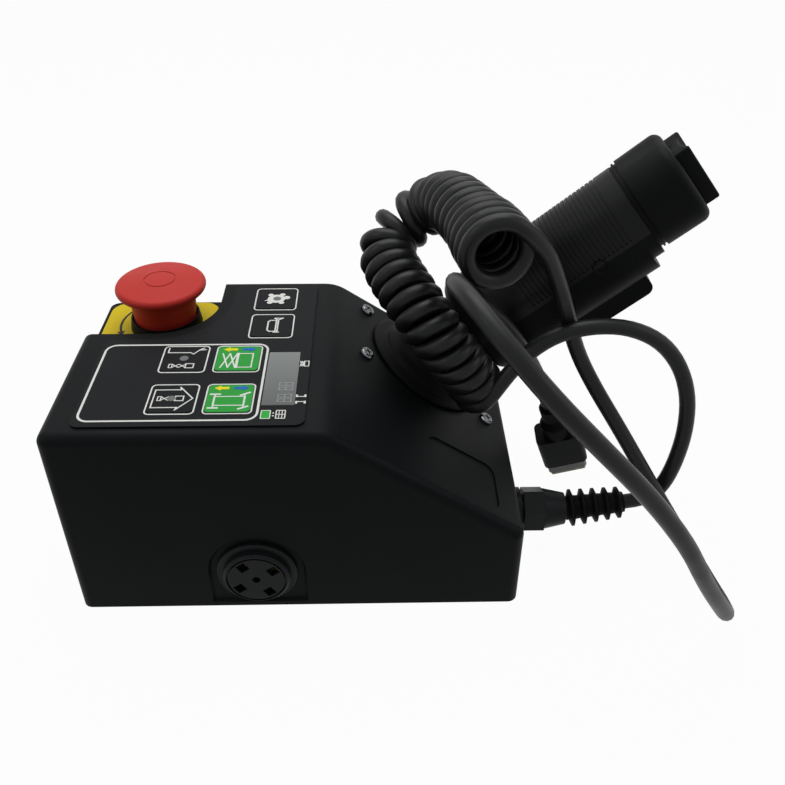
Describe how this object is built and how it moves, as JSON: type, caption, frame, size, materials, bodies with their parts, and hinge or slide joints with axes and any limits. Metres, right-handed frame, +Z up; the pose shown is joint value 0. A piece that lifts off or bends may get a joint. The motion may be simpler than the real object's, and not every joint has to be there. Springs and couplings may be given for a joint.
{
  "type": "scissor lift control box",
  "caption": "Lift control box with sloped moulded case, keypad, display, emergency stop mushroom, sounder, leaning joystick with thumb rocker and trigger, and a curly cord with plug.",
  "frame": {"origin": "centre of the case's bottom face, where it stands", "axes": "+X along the case from the emergency stop's end to the cable gland, +Y from the sounder's wall to the far wall, +Z up"},
  "size_m": [0.2879, 0.1743, 0.1786],
  "materials": {
    "case_plastic": "fine moulded texture",
    "overlay_film": "printed satin film",
    "key_green": "printed satin film",
    "key_dark": "printed satin film",
    "stop_red": "satin",
    "stop_yellow": "satin",
    "window_clear": "clear",
    "display": "grey liquid crystal",
    "board": "solder mask",
    "switch_black": "moulded",
    "rubber_black": "matt",
    "cord_black": "satin",
    "steel": "plain",
    "screw_chrome": "bright",
    "brass_disc": "plain",
    "connector_metal": "satin",
    "handle_plastic": "fine texture"
  },
  "bodies": {
    "box": {"case": "case_plastic", "base_plate": "case_plastic", "base_gasket": "rubber_black", "base_screws": "steel", "estop_legend_plate": "stop_yellow", "estop_body": "case_plastic", "estop_lock_nut": "switch_black", "estop_contact_block": "switch_black", "panel_overlay": "overlay_film", "lcd_window": "window_clear", "lcd_module": "display", "key_switches": "switch_black", "control_board": "board", "board_screws": "steel", "wire_header": "switch_black", "sounder_housing": "case_plastic", "sounder_face": "case_plastic", "sounder_piezo": "brass_disc", "sounder_nut": "switch_black", "gland_body": "case_plastic", "gland_nut": "case_plastic", "gland_seal": "rubber_black", "gland_locknut": "switch_black", "gland_flex": "rubber_black", "cord_lead": "cord_black", "cord_coil": "cord_black", "cord_tail": "cord_black", "connector_backshell": "rubber_black", "connector_body": "case_plastic", "connector_shell": "connector_metal", "connector_insert": "connector_metal", "joystick_carrier": "steel", "joystick_pin": "steel", "joystick_boot": "rubber_black", "joystick_screws": "screw_chrome"},
    "stop_plunger": {"estop_plunger": "switch_black"},
    "stop_mushroom": {"estop_mushroom": "stop_red"},
    "stick": {"joystick_shaft": "steel", "grip_rear": "rubber_black", "grip_front": "handle_plastic", "head_ring": "handle_plastic", "handle_head": "handle_plastic", "rocker_pin": "steel", "trigger_pin": "steel", "trigger_switch": "switch_black"},
    "rocker": {"steer_rocker": "handle_plastic"},
    "trigger": {"enable_trigger": "handle_plastic"},
    "key_indoor_cap": {"key_indoor": "key_dark"},
    "key_outdoor_cap": {"key_outdoor": "key_dark"},
    "key_drive_cap": {"key_drive": "key_green"},
    "key_lift_cap": {"key_lift": "key_green"},
    "key_horn_cap": {"key_horn": "key_dark"},
    "key_slow_cap": {"key_slow": "key_dark"}
  },
  "joints": [
    {"name": "estop_push", "type": "slide", "parent": "box", "child": "stop_plunger", "axis": [0, 0, -1], "range_m": [0, 0.004]},
    {"name": "estop_twist", "type": "hinge", "parent": "stop_plunger", "child": "stop_mushroom", "pos_m": [-0.0655, 0.04, 0.085], "axis": [0, 0, -1], "range_deg": [0, 45], "stiffness_Nm_per_rad": 0.05},
    {"name": "joystick_tilt", "type": "hinge", "parent": "box", "child": "stick", "pos_m": [0.04923, 0.029, 0.05363], "axis": [0, 1, 0], "range_deg": [-12, 12], "stiffness_Nm_per_rad": 8, "springref_deg": -1.15, "deforming": ["joystick_boot"]},
    {"name": "rocker_tilt", "type": "hinge", "parent": "stick", "child": "rocker", "pos_m": [0.16351, 0.029, 0.16239], "axis": [0.6355, 0, -0.7721], "range_deg": [-12, 12], "stiffness_Nm_per_rad": 0.2},
    {"name": "trigger_squeeze", "type": "hinge", "parent": "stick", "child": "trigger", "pos_m": [0.12226, 0.029, 0.09607], "axis": [0, -1, 0], "range_deg": [0, 7], "stiffness_Nm_per_rad": 1, "springref_deg": -1.72},
    {"name": "key_indoor_press", "type": "slide", "parent": "box", "child": "key_indoor_cap", "axis": [0, 0, -1], "range_m": [0, 0.0006], "stiffness_N_per_m": 1500, "springref_m": -0.0002},
    {"name": "key_outdoor_press", "type": "slide", "parent": "box", "child": "key_outdoor_cap", "axis": [0, 0, -1], "range_m": [0, 0.0006], "stiffness_N_per_m": 1500, "springref_m": -0.0002},
    {"name": "key_drive_press", "type": "slide", "parent": "box", "child": "key_drive_cap", "axis": [0, 0, -1], "range_m": [0, 0.0006], "stiffness_N_per_m": 1500, "springref_m": -0.0002},
    {"name": "key_lift_press", "type": "slide", "parent": "box", "child": "key_lift_cap", "axis": [0, 0, -1], "range_m": [0, 0.0006], "stiffness_N_per_m": 1500, "springref_m": -0.0002},
    {"name": "key_horn_press", "type": "slide", "parent": "box", "child": "key_horn_cap", "axis": [0, 0, -1], "range_m": [0, 0.0006], "stiffness_N_per_m": 1500, "springref_m": -0.0002},
    {"name": "key_slow_press", "type": "slide", "parent": "box", "child": "key_slow_cap", "axis": [0, 0, -1], "range_m": [0, 0.0006], "stiffness_N_per_m": 1500, "springref_m": -0.0002}
  ]
}
